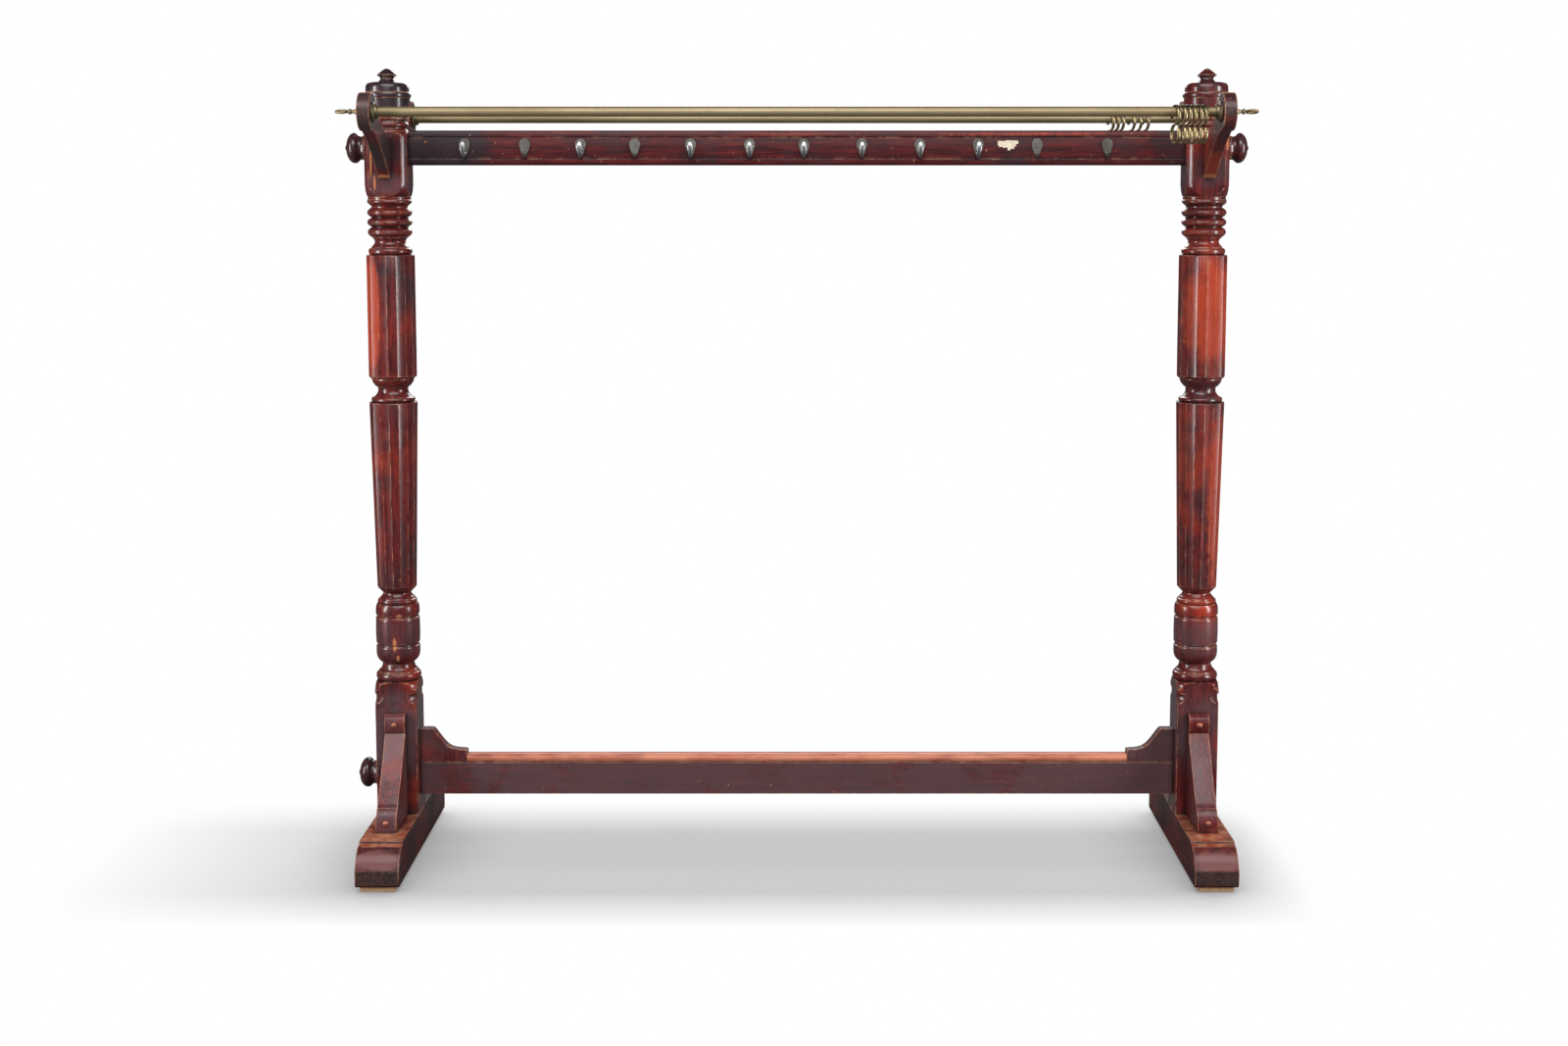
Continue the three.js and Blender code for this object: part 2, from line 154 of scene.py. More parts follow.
def loft(rings, closed_loop=False):
    """Faces over rings that all have the same number of points, capped unless the rings form a loop."""
    around = len(rings[0])
    points = [point for ring in rings for point in ring]
    faces = []
    for row in range(len(rings) if closed_loop else len(rings) - 1):
        upper = (row + 1) % len(rings) * around
        for k in range(around):
            nxt = (k + 1) % around
            faces.append((row * around + k, row * around + nxt, upper + nxt, upper + k))
    if not closed_loop:
        faces.append(tuple(reversed(range(around))))
        faces.append(tuple(range((len(rings) - 1) * around, len(rings) * around)))
    return points, faces


def placed(points, along, centre):
    """Turns points drawn around +Z so that +Z points along the given direction, then moves them."""
    turn = Vector((0, 0, 1)).rotation_difference(Vector(along))
    return [tuple(turn @ Vector(point) + Vector(centre)) for point in points]


def turned(profile, around=48):
    """A lathe's work about +Z, from pairs of height and radius."""
    angles = [2 * math.pi * k / around for k in range(around)]
    return loft([[(r * math.cos(a), r * math.sin(a), z) for a in angles] for z, r in profile])


def board(outline, low, high, axis):
    """An outline with thickness: axis 'x' takes points as (y, z), axis 'y' takes them as (x, z)."""
    area = sum(a[0] * b[1] - b[0] * a[1] for a, b in zip(outline, outline[1:] + outline[:1]))
    loop = outline if area > 0 else outline[::-1]
    if axis == "x":
        rings = [[(depth, y, z) for y, z in loop] for depth in (low, high)]
    else:
        rings = [[(x, depth, z) for x, z in loop] for depth in (high, low)]
    return loft(rings)


def mirrored(solid, x=1, y=1):
    points, faces = solid
    flipped = [(x * p[0], y * p[1], p[2]) for p in points]
    return flipped, [face[::-1] for face in faces] if x * y < 0 else faces


def moved(solid, x=0.0, y=0.0, z=0.0):
    return [(p[0] + x, p[1] + y, p[2] + z) for p in solid[0]], solid[1]


print("helpers ready")

# %% [markdown]
# ## Finishes
# The wood is mahogany, stained dark red and french polished over a century ago. Two things show
# its age. Every edge has been rubbed back to pale or orange wood, and the polish has gone cloudy in
# patches. The hollows are darkened nearly to black with painted shade. The worn edges are found by
# comparing the surface with a softened copy of itself, and the hollows by how much sky each point can see.

# %% A short way to write shader nodes
def new_finish(name):
    finish = bpy.data.materials.new(name)
    finish.use_nodes = True
    return finish, finish.node_tree, finish.node_tree.nodes["Principled BSDF"]


def node(tree, kind, settings=None, **inputs):
    """Adds a node. Settings are its own choices; inputs are values or other nodes' outputs."""
    made = tree.nodes.new(kind)
    for key, value in (settings or {}).items():
        setattr(made, key, value)
    for key, value in inputs.items():
        socket = made.inputs[int(key[1:])] if key[1:].isdigit() else made.inputs[key.replace("_", " ")]
        if isinstance(value, bpy.types.NodeSocket):
            tree.links.new(value, socket)
        else:
            socket.default_value = value
    return made


def ramp(tree, value, *stops):
    """A colour ramp from (position, colour) pairs; a colour may be one grey value."""
    made = tree.nodes.new("ShaderNodeValToRGB")
    tree.links.new(value, made.inputs[0])
    while len(made.color_ramp.elements) < len(stops):
        made.color_ramp.elements.new(0.5)
    for element, (position, colour) in zip(made.color_ramp.elements, stops):
        element.position = position
        grey = isinstance(colour, (int, float))
        element.color = (colour, colour, colour, 1) if grey else (*colour, 1)
    return made.outputs[0]


def blended(tree, factor, first, second, mode="MIX"):
    made = tree.nodes.new("ShaderNodeMix")
    made.data_type = "RGBA"
    made.blend_type = mode
    for socket, value in zip((made.inputs[0], made.inputs[6], made.inputs[7]), (factor, first, second)):
        if isinstance(value, bpy.types.NodeSocket):
            tree.links.new(value, socket)
        elif isinstance(value, tuple):
            socket.default_value = (*value, 1)
        else:
            socket.default_value = value
    return made.outputs[2]


def maths(tree, operation, *values, clamp=False):
    made = tree.nodes.new("ShaderNodeMath")
    made.operation = operation
    made.use_clamp = clamp
    for socket, value in zip(made.inputs, values):
        if isinstance(value, bpy.types.NodeSocket):
            tree.links.new(value, socket)
        else:
            socket.default_value = value
    return made.outputs[0]


def noise(tree, scale, detail=4.0, roughness=0.55, stretch=(1, 1, 1), distortion=0.0):
    """Cloudy noise in the piece's own space; scale is in lumps per metre."""
    place = node(tree, "ShaderNodeTexCoord").outputs["Object"]
    fitted = node(tree, "ShaderNodeMapping", Vector=place, Scale=stretch).outputs[0]
    made = node(tree, "ShaderNodeTexNoise", Vector=fitted, Scale=scale, Detail=detail,
                Roughness=roughness, Distortion=distortion)
    return made.outputs["Fac"]


def edge_wear(tree, radius, reach=0.12):
    """1 on edges that stand proud, 0 on flats and in hollows."""
    softened = node(tree, "ShaderNodeBevel", {"samples": 6}, Radius=radius).outputs[0]
    flat = node(tree, "ShaderNodeNewGeometry").outputs["Normal"]
    agreement = node(tree, "ShaderNodeVectorMath", {"operation": "DOT_PRODUCT"}, _0=softened, _1=flat)
    turned_away = maths(tree, "SUBTRACT", 1.0, agreement.outputs["Value"])
    return maths(tree, "DIVIDE", turned_away, reach, clamp=True)


def openness(tree, distance):
    """1 where the surface sees open sky, falling to 0 in tight hollows."""
    made = node(tree, "ShaderNodeAmbientOcclusion", {"samples": 6}, Distance=distance)
    return made.outputs["AO"]


print("node helpers ready")

# %% The colours of old mahogany
DARK_FIBRE = (0.026, 0.0055, 0.006)
MIDDLE_FIBRE = (0.1, 0.0125, 0.0115)
BRIGHT_FIBRE = (0.23, 0.024, 0.0155)
FIGURE = (0.4, 0.042, 0.0125)
PORE = (0.016, 0.005, 0.005)
THROUGH_TO_WOOD = (0.56, 0.2, 0.12)
WORN_RED, WORN_PALE = (0.4, 0.07, 0.022), (0.62, 0.34, 0.2)
# Colours for faces that point up: worn wood, lightened further as painted light from above.
LIT_WORN_TOP_RED, LIT_WORN_TOP_PALE = (0.32, 0.05, 0.018), (0.5, 0.22, 0.12)
END_DARK, END_LIGHT = (0.024, 0.016, 0.015), (0.075, 0.044, 0.038)
CHIP = (0.4, 0.17, 0.1)
# The near-black that is painted into hollows as shade.
HOLLOW_SHADE_BLACK = (0.005, 0.004, 0.004)
SOOT = (0.02, 0.014, 0.018)
DUST = (0.088, 0.051, 0.057)
# An orange that is painted in as light, where the side soft boxes would fall on the wood.
PAINTED_LIGHT_ORANGE = (0.42, 0.052, 0.018)
BARE = (0.47, 0.17, 0.075)
print("the brightest fibre is", round(BRIGHT_FIBRE[0] / DARK_FIBRE[0], 1), "times as red as the darkest")


# %% Patches that age has changed
def patch(tree, place, size):
    """1 inside an egg shape at a place, with a ragged edge; place and size are in millimetres."""
    here = node(tree, "ShaderNodeTexCoord").outputs["Object"]
    offset = node(tree, "ShaderNodeVectorMath", {"operation": "SUBTRACT"}, _0=here,
                  _1=tuple(value * MM for value in place))
    scaled = node(tree, "ShaderNodeVectorMath", {"operation": "DIVIDE"}, _0=offset.outputs[0],
                  _1=tuple(value * MM for value in size))
    away = node(tree, "ShaderNodeVectorMath", {"operation": "LENGTH"}, _0=scaled.outputs[0]).outputs["Value"]
    lumps = 1.6 / (MM * min(sorted(size)[1:]))
    unevenness = maths(tree, "MULTIPLY", maths(tree, "SUBTRACT", noise(tree, lumps, 4.0), 0.5), 0.9)
    ragged = maths(tree, "ADD", away, unevenness)
    return maths(tree, "DIVIDE", maths(tree, "SUBTRACT", 1.1, ragged), 0.35, clamp=True)


print("patch helper ready")


# %% Mahogany, cut with its grain along x, y or z
def mahogany(name, grain, warmth=0.5, polish=0.3, smokiness=0.5, worn=0.3, bareness=0.0,
             haze=SOOT, stain=(1.0, 1.0, 1.0), gloss=0.2, patches=(), end_grain=False):
    finish, tree, shader = new_finish(name)
    fine = tuple(1.0 if axis == grain else 14.0 for axis in "xyz")
    pores = tuple(1.0 if axis == grain else 30.0 for axis in "xyz")
    fibre = noise(tree, 9.0, 7.0, 0.62, fine, 0.6)
    streak = noise(tree, 14.0, 3.0, 0.7, pores)
    cloud = noise(tree, 6.0, 4.0, 0.6)
    wood = ramp(tree, fibre, (0.3, DARK_FIBRE), (0.48, MIDDLE_FIBRE), (0.7, BRIGHT_FIBRE))
    glow = ramp(tree, cloud, (0.66 - 0.3 * warmth, 0.0), (0.86 - 0.2 * warmth, 0.85))
    wood = blended(tree, glow, wood, FIGURE)
    wood = blended(tree, ramp(tree, streak, (0.34, 0.8), (0.44, 0.0)), wood, PORE)
    wood = blended(tree, 1.0, wood, stain, "MULTIPLY")
    drift = noise(tree, 5.5, 5.0, 0.7, distortion=0.5)
    smoke = ramp(tree, drift, (0.62 - 0.3 * smokiness, 0.0), (0.82 - 0.3 * smokiness, 0.8))
    wood = blended(tree, smoke, wood, haze)
    for place, size, colour, amount in patches:
        wood = blended(tree, maths(tree, "MULTIPLY", patch(tree, place, size), amount), wood, colour)
    if bareness:
        rubbed_through = ramp(tree, noise(tree, 22.0, 5.0, 0.65, (0.3, 1, 1)), (0.34, 0.3), (0.56, 1.0))
        wood = blended(tree, maths(tree, "MULTIPLY", rubbed_through, bareness), wood, THROUGH_TO_WOOD)
    sky = openness(tree, 0.018)
    # Painted shade: where little open sky is seen, in hollows, corners and where parts meet, the colour is
    # pulled nearly to black.
    painted_hollow_shade = ramp(tree, sky, (0.3, 1.0), (0.82, 0.0))
    patchy = ramp(tree, noise(tree, 42.0, 5.0, 0.65), (0.38, 0.0), (0.6, 1.0))
    edge = edge_wear(tree, 0.0028, 0.07)
    bright_sky = ramp(tree, sky, (0.5, 0.0), (0.85, 1.0))
    rubbed = maths(tree, "MULTIPLY", maths(tree, "MULTIPLY", edge, bright_sky),
                   maths(tree, "ADD", worn, patchy), clamp=True)
    bare = blended(tree, patchy, WORN_RED, WORN_PALE)
    if end_grain:
        normal = node(tree, "ShaderNodeNewGeometry").outputs["Normal"]
        facing = node(tree, "ShaderNodeSeparateXYZ", Vector=normal)
        end = ramp(tree, maths(tree, "ABSOLUTE", facing.outputs[1]), (0.93, 0.0), (0.99, 0.92))
        pits = ramp(tree, noise(tree, 150.0, 4.0, 0.7), (0.4, 0.0), (0.66, 1.0))
        raw_end = blended(tree, pits, END_DARK, END_LIGHT)
        wood = blended(tree, end, wood, raw_end)
        # Faces that point up are painted lighter, partly as wear and partly as painted light from above,
        # broken up by scuffs.
        lit_worn_top = ramp(tree, facing.outputs[2], (0.9, 0.0), (0.98, 0.85))
        scuffed = ramp(tree, noise(tree, 16.0, 5.0, 0.6), (0.36, 0.2), (0.58, 1.0))
        lit_worn_top = maths(tree, "MULTIPLY", lit_worn_top, scuffed)
        wood = blended(tree, lit_worn_top, wood, blended(tree, patchy, LIT_WORN_TOP_RED, LIT_WORN_TOP_PALE))
    wood = blended(tree, rubbed, wood, bare)
    chips = ramp(tree, noise(tree, 120.0, 2.0, 0.5), (0.73, 0.0), (0.755, 0.8))
    wood = blended(tree, chips, wood, CHIP)
    # Lay the painted shade into the hollows.
    wood = blended(tree, maths(tree, "MULTIPLY", painted_hollow_shade, 0.92), wood, HOLLOW_SHADE_BLACK)
    tree.links.new(wood, shader.inputs["Base Color"])
    dulling = maths(tree, "MULTIPLY", ramp(tree, noise(tree, 26.0, 5.0, 0.6), (0.35, 0.0), (0.75, 1.0)), 0.2)
    rough = maths(tree, "ADD", maths(tree, "ADD", polish, dulling), maths(tree, "MULTIPLY", rubbed, 0.12))
    tree.links.new(rough, shader.inputs["Roughness"])
    shader.inputs["Coat Weight"].default_value = gloss
    shader.inputs["Coat Roughness"].default_value = 0.16
    shader.inputs["Specular IOR Level"].default_value = 0.25
    relief = maths(tree, "ADD", maths(tree, "MULTIPLY", fibre, 0.6), noise(tree, 60.0, 3.0))
    bump = node(tree, "ShaderNodeBump", Strength=0.035, Distance=0.001, Height=relief)
    tree.links.new(bump.outputs[0], shader.inputs["Normal"])
    return finish


print("mahogany helper ready")

# %% [markdown]
# Age has not treated every part alike. Each patch below is a place in millimetres, a reach in each
# direction, a colour and an amount. The left end has gathered the most soot, and small knocks have
# gone through to bare wood. Other patches are painted light: a warm orange on the shafts where the
# side soft boxes fall, most on their outer sides, and on the lower end of the front right arm, and a
# painted highlight line along the top of the hook rail's front face.

# %% Patches on the posts, arms, feet and hook rail
post_patches = [
    ((-POST_X, 0, 1795), (80, 80, 76), SOOT, 0.95),
    ((-POST_X, 0, 1665), (70, 75, 46), SOOT, 0.6),
    ((-POST_X, -30, 1590), (56, 50, 30), DUST, 0.6),
    ((POST_X, 0, 1625), (75, 75, 60), DUST, 0.45),
    ((-POST_X, 0, 300), (80, 80, 130), DUST, 0.85),
    ((POST_X, 0, 300), (80, 80, 130), DUST, 0.7),
    ((POST_X, 0, 530), (75, 75, 62), DUST, 0.6),
    ((-POST_X, 0, 530), (75, 75, 62), DUST, 0.35),
    # Painted light: warm orange on the upper and lower shafts, most on their outer sides, where the side soft
    # boxes fall.
    ((POST_X + 10, -20, 1290), (62, 62, 150), PAINTED_LIGHT_ORANGE, 0.6),
    ((-POST_X - 40, -30, 1290), (26, 50, 150), PAINTED_LIGHT_ORANGE, 0.7),
    ((POST_X + 34, -30, 860), (26, 40, 230), PAINTED_LIGHT_ORANGE, 0.5),
    ((-POST_X + 1, -50, 512), (4.5, 9, 17), BARE, 0.9),
    ((-POST_X + 12, -49, 577), (8, 9, 7), BARE, 0.7),
    ((-POST_X + 8, -49, 478), (4, 9, 8), BARE, 0.8),
    ((-POST_X - 32, -49, 1640), (2.5, 6, 44), BARE, 0.9),
    ((-POST_X - 24, -49, 1590), (3, 6, 18), BARE, 0.9),
    ((POST_X + 42, -46, 1690), (4, 9, 30), BARE, 0.9),
    ((POST_X - 38, -40, 600), (5, 9, 8), BARE, 0.7),
]
ARM_GREY = (0.034, 0.026, 0.028)
# A warm red that is painted in as light on the lower end of the front right arm.
PAINTED_ARM_LIGHT = (0.24, 0.036, 0.018)
WEATHERED = (0.17, 0.06, 0.055)
crossways_patches = [
    ((-POST_X, -RAIL_Y, RAIL_Z), (40, 60, 52), ARM_GREY, 0.85),
    ((-POST_X, -120, 1655), (40, 70, 46), ARM_GREY, 0.8),
    ((-POST_X, -70, 1603), (18, 16, 6), BARE, 0.9),
    # Painted light on the lower end of the front right arm.
    ((POST_X, -100, 1648), (30, 46, 48), PAINTED_ARM_LIGHT, 0.6),
    ((POST_X, -66, 1604), (22, 20, 7), BARE, 0.6),
]
crossways_patches += [((x * POST_X, -285, 68), (56, 46, 22), WEATHERED, 0.7) for x in (-1, 1)]
hook_rail_patches = [
    ((-830, 0, 1670), (130, 60, 60), SOOT, 0.85),
    ((870, 0, 1670), (60, 60, 60), SOOT, 0.5),
    # Painted highlight: a thin orange line along the top of the hook rail's front face.
    ((540, -30, 1702), (330, 20, 6), PAINTED_LIGHT_ORANGE, 0.6),
    ((0, -30, 1702), (200, 20, 5), PAINTED_LIGHT_ORANGE, 0.35),
]
print("patches:", len(post_patches) + len(crossways_patches) + len(hook_rail_patches))

# %% A finish for each cut of the wood
UPRIGHT = mahogany("mahogany_upright", "z", 0.5, 0.25, worn=0.0, stain=(0.84, 0.76, 0.88), gloss=0.55,
                   patches=post_patches)
BRACE_WOOD = mahogany("mahogany_brace", "z", 0.5, 0.34, smokiness=0.7, worn=0.5, haze=DUST,
                      stain=(0.85, 0.85, 1.0))
HOOK_RAIL = mahogany("mahogany_hook_rail", "x", 0.0, 0.36, smokiness=0.35, worn=-0.55,
                     stain=(0.55, 0.45, 0.62), patches=hook_rail_patches)
LOW_RAIL = mahogany("mahogany_low_rail", "x", 0.1, 0.4, smokiness=1.2, haze=DUST)
CAPPING = mahogany("mahogany_capping", "x", 0.9, 0.36, smokiness=0.1, worn=0.9, bareness=0.95)
KNOB = mahogany("mahogany_knob", "x", 0.0, 0.2, smokiness=1.1, gloss=0.6)
CROSSWAYS = mahogany("mahogany_crossways", "y", 0.4, 0.34, smokiness=0.8, worn=1.1,
                     patches=crossways_patches, end_grain=True)
print("mahogany finishes ready")

# %% [markdown]
# Brass that is handled stays bright where it is touched and goes brown, then green, where it isn't.
# The coat hooks were nickelled; the plating is dull grey, and bright only at the tips where collars
# have rubbed. The blocks under the feet are new softwood, left bare.


# %% Metals, softwood and paper
def aged_metal(name, bright, dull, tarnish, shine=0.3, spread=0.5, drawn=(1, 1, 1), metallic=1.0):
    """A tarnished metal; drawn stretches the stains along a bar."""
    finish, tree, shader = new_finish(name)
    cloud = noise(tree, 14.0, 6.0, 0.65, drawn)
    specks = noise(tree, 200.0, 3.0, 0.6)
    colour = blended(tree, ramp(tree, cloud, (spread - 0.14, 0.0), (spread + 0.14, 1.0)), bright, dull)
    hollow = ramp(tree, openness(tree, 0.012), (0.3, 1.0), (0.8, 0.0))
    spots = ramp(tree, specks, (0.63, 0.0), (0.74, 0.5))
    colour = blended(tree, maths(tree, "MAXIMUM", hollow, spots), colour, tarnish)
    rubbed = edge_wear(tree, 0.001, 0.15)
    polished = tuple(min(1.0, 1.4 * c) for c in bright)
    colour = blended(tree, maths(tree, "MULTIPLY", rubbed, 0.6), colour, polished)
    tree.links.new(colour, shader.inputs["Base Color"])
    rough = maths(tree, "ADD", maths(tree, "MULTIPLY", cloud, 0.2), maths(tree, "MULTIPLY", spots, 0.3))
    tree.links.new(maths(tree, "ADD", rough, shine - 0.08), shader.inputs["Roughness"])
    shader.inputs["Metallic"].default_value = metallic
    bump = node(tree, "ShaderNodeBump", Strength=0.05, Distance=0.0003, Height=specks)
    tree.links.new(bump.outputs[0], shader.inputs["Normal"])
    return finish


BRASS = aged_metal("aged_brass", (0.39, 0.315, 0.19), (0.28, 0.215, 0.12), (0.13, 0.11, 0.065), 0.6,
                   drawn=(0.1, 1, 1))
HOOK_BRASS = aged_metal("hook_brass", (0.44, 0.36, 0.18), (0.28, 0.19, 0.12), (0.07, 0.06, 0.03), 0.34)
NICKEL = aged_metal("worn_nickel", (0.26, 0.25, 0.23), (0.13, 0.12, 0.105), (0.035, 0.033, 0.028), 0.42)
BRIGHT_NICKEL = aged_metal("rubbed_nickel", (0.42, 0.43, 0.44), (0.3, 0.3, 0.29), (0.1, 0.1, 0.1), 0.36)
COPPER = aged_metal("coppered_screw", (0.42, 0.15, 0.09), (0.24, 0.085, 0.05), (0.05, 0.025, 0.015),
                    0.34, metallic=0.6)
ROSE_BRASS = aged_metal("tarnished_brass", (0.27, 0.22, 0.13), (0.15, 0.12, 0.075), (0.06, 0.05, 0.032), 0.46)


def plain_matter(name, light, dark, stretch, scale, rough):
    finish, tree, shader = new_finish(name)
    grain = noise(tree, scale, 6.0, 0.6, stretch, 0.4)
    colour = ramp(tree, grain, (0.3, dark), (0.7, light))
    # Painted shade: the colour darkens to brown where the surface sees little open sky, such as where the
    # pads meet the feet and the floor.
    painted_crevice_shade = ramp(tree, openness(tree, 0.01), (0.3, 0.8), (0.8, 0.0))
    tree.links.new(blended(tree, painted_crevice_shade, colour, (0.09, 0.05, 0.03)), shader.inputs["Base Color"])
    rough_map = maths(tree, "ADD", maths(tree, "MULTIPLY", grain, 0.2), rough)
    tree.links.new(rough_map, shader.inputs["Roughness"])
    bump = node(tree, "ShaderNodeBump", Strength=0.3, Distance=0.0006, Height=grain)
    tree.links.new(bump.outputs[0], shader.inputs["Normal"])
    return finish


PINE = plain_matter("bare_pine", (0.72, 0.44, 0.24), (0.55, 0.29, 0.14), (12, 1, 12), 10.0, 0.6)
PAPER = plain_matter("torn_paper", (0.78, 0.7, 0.56), (0.6, 0.5, 0.36), (1, 1, 1), 90.0, 0.75)
print("metals, pine and paper")

# %% [markdown]
# ## The posts
# Each post is one square of mahogany. The turner left the stock square where rails and arms meet
# it, turned beads, coves and a barrel between, and then sixteen flats were planed down the two long
# stretches, each very slightly hollow. The posts are built the same way: level rings of points,
# stacked from the floor up, that change from square to round to sixteen-sided.

# %% Rings for each kind of section
AROUND = 96
ANGLES = [2 * math.pi * k / AROUND for k in range(AROUND)]


def round_ring(z, radius):
    return [(radius * math.cos(a), radius * math.sin(a), z) for a in ANGLES]


def planed_ring(z, radius, hollow=0.7):
    """Sixteen flats. Within each, the radius dips to the flat and a little below it."""
    per_flat = AROUND // 16
    ring = []
    for k, angle in enumerate(ANGLES):
        across = (k % per_flat) / per_flat
        from_middle = (across - 0.5) * 2 * math.pi / 16
        flat = radius * math.cos(math.pi / 16) / math.cos(from_middle)
        dip = hollow * (1 - (2 * across - 1) ** 2)
        ring.append(((flat - dip) * math.cos(angle), (flat - dip) * math.sin(angle), z))
    return ring


def block_ring(z, radius, half=HALF_BLOCK):
    """A square with its corners cut back by the lathe: the square or the circle, whichever is less."""
    ring = []
    for angle in ANGLES:
        off_face = (angle + math.pi / 4) % (math.pi / 2) - math.pi / 4
        reach = min(half / math.cos(off_face), radius)
        ring.append((reach * math.cos(angle), reach * math.sin(angle), z))
    return ring


def bead(low, high, valley, crest, fullness=0.5):
    """A rounded bead between two heights; a fullness near 1 makes it more pointed."""
    rows = []
    for step in range(11):
        t = -math.cos(math.pi * step / 10)
        middle_height = (low + high) / 2 + (high - low) / 2 * t
        rows.append((middle_height, valley + (crest - valley) * max(0.0, 1 - t * t) ** fullness))
    return rows


print("points in each ring:", AROUND)

# %% [markdown]
# The heights below go up the post in millimetres, each with a radius. Where a square block meets
# turned work, the lathe cuts into its four corners first. That leaves a dark notch, a rounded ear
# above it, and an arched top to each flat face.

# %% The base block and everything turned below the lower shaft
ARRIS = HALF_BLOCK * math.sqrt(2) - 1.6
rows = [block_ring(z, ARRIS) for z in (POST_FOOT, 150, 220, 290, 350, 367)]
notch = through([(369, 67), (373, 62), (379, 58), (387, 56.8), (392, 57.6)])
ear = through([(392.6, 64), (396, 66.4), (401, 66.6), (405.5, 64.6)])
arched_top = through([(406.2, 62), (411, 61.4), (416, 59.4), (419.2, 55.4), (421, 49.4)])
for lathe_cut in (notch, ear, arched_top):
    rows += [block_ring(z, r) for z, r in lathe_cut]
base_turning = [(421.8, 50.6)]
base_turning += bead(422.5, 439, 48, 52.4)
base_turning += through([(439.6, 46.6), (443, 45.8), (447, 41.4), (453, 38.4), (458, 37.2)])
base_turning += through([(459, 36.8), (463, 38)])
base_turning += through([(464, 40), (468, 44.5), (475, 49), (485, 51), (500, 51)])
base_turning += through([(502, 50.6), (504, 48.3), (507, 48), (510, 50.7)])
base_turning += through([(512, 51), (536, 51.6), (568, 51)])
base_turning += through([(569.5, 50.6), (571.5, 48.3), (574.5, 48), (577.5, 50.7)])
base_turning += through([(579, 51), (589, 51), (597, 50), (603, 47.4)]) + bead(604, 613.5, 43.6, 45.8)
base_turning += through([(614.2, 41.5), (617, 40.4), (621, 36.5), (626, 33), (628.6, 32.3)])
rows += [round_ring(z, r) for z, r in base_turning]
print("rows so far:", len(rows))

# %% The two planed shafts and the turning between them
shaft_foot = ((630, 33.6, 0), (634, 37.4, 0.2), (640, 43.2, 0.5), (644, 46.3, 0.7))
rows += [planed_ring(z, r, h) for z, r, h in shaft_foot]
rows += [planed_ring(z, 46.5 + (z - 648) * 10.0 / 432) for z in (648, 750, 860, 970, 1078)]
rows += [planed_ring(1080, 55.6, 0.3)]
middle_turning = [(1081, 50)] + bead(1081.6, 1092, 47, 50.6)
middle_turning += through([(1093, 43.8), (1096, 41), (1102, 36.4), (1108, 34.7), (1114, 35.2),
                           (1116.5, 36.4)])
middle_turning += through([(1117.5, 39.2), (1120, 41.5), (1126, 46), (1132, 48.4), (1136, 48.8)])
rows += [round_ring(z, r) for z, r in middle_turning]
rows += [planed_ring(z, r, h) for z, r, h in ((1137, 51, 0), (1139, 54, 0.4), (1142, 56.2, 0.7))]
rows += [planed_ring(z, 56.4) for z in (1210, 1280, 1350, 1421)]
rows += [planed_ring(1423, 55.6, 0.3)]
print("rows so far:", len(rows))

# %% The neck and the stack of beads under the top block
upper_turning = [(1424, 50)] + bead(1424.6, 1439, 46, 50.3)
upper_turning += through([(1440, 43.5), (1443, 42.3), (1448, 37.5), (1454, 35.4), (1460, 37.6), (1464, 42)])
for low, high, crest in ((1465, 1487.5, 51), (1488.5, 1509.5, 51.6), (1510.5, 1532.5, 51.6)):
    upper_turning += bead(low, high, 41.6, crest, 0.85)
upper_turning += through([(1533.5, 41.8), (1537, 42.6), (1541, 47.5), (1545.5, 51.2), (1550, 50.4)])
upper_turning += [(1551.2, 49.4), (1557.4, 49.4)]
rows += [round_ring(z, r) for z, r in upper_turning]
print("rows so far:", len(rows))

# %% The top block and the turned capital
CHAMFERED = math.hypot(HALF_BLOCK, HALF_BLOCK - 11)
chamfer_stops = through([(1558, 48.8), (1559.5, 50.6), (1563, 53.2), (1569, 57), (1577, 60.4),
                         (1586, CHAMFERED)])
rows += [block_ring(z, r) for z, r in chamfer_stops]
rows += [block_ring(z, CHAMFERED) for z in (1600, 1630, 1670, 1698)]
rows += [block_ring(z, r) for z, r in through([(1700, 61.4), (1703, 58), (1706, 52), (1707.4, 48)])]
capital = through([(1708, 46.6), (1710, 45.6), (1713, 42.2), (1716.5, 42)]) + bead(1717.5, 1728, 43.5, 47.4)
capital += through([(1729, 43), (1732, 42.6), (1735, 44.5)]) + [(1735.6, 47), (1738, 47.4)]
capital += through([(1739, 46.6), (1744, 49.2), (1752, 50.8), (1768, 51), (1784, 51)])
capital += bead(1785, 1796.5, 52.2, 53.9) + [(1797.3, 50.2)]
capital += through([(1798, 49.7), (1804, 49.6), (1810, 49.2), (1815, 47.4), (POST_TOP - 2.6, 43)])
capital += [(POST_TOP - 0.8, 34), (POST_TOP, 22), (POST_TOP, 8.3), (POST_TOP - 18.3, 8.3)]
rows += [round_ring(z, r) for z, r in capital]
post_solid = loft(rows)

for side, x in (("left", -1), ("right", 1)):
    make_piece(f"{side}_turned_post", *moved(mirrored(post_solid, x), x * POST_X), UPRIGHT, "frame",
               f"{side}_post", crease=17)
print("post points:", len(post_solid[0]))

# %% [markdown]
# The finial is a little mushroom with a pointed cap. Its peg goes down into the post.

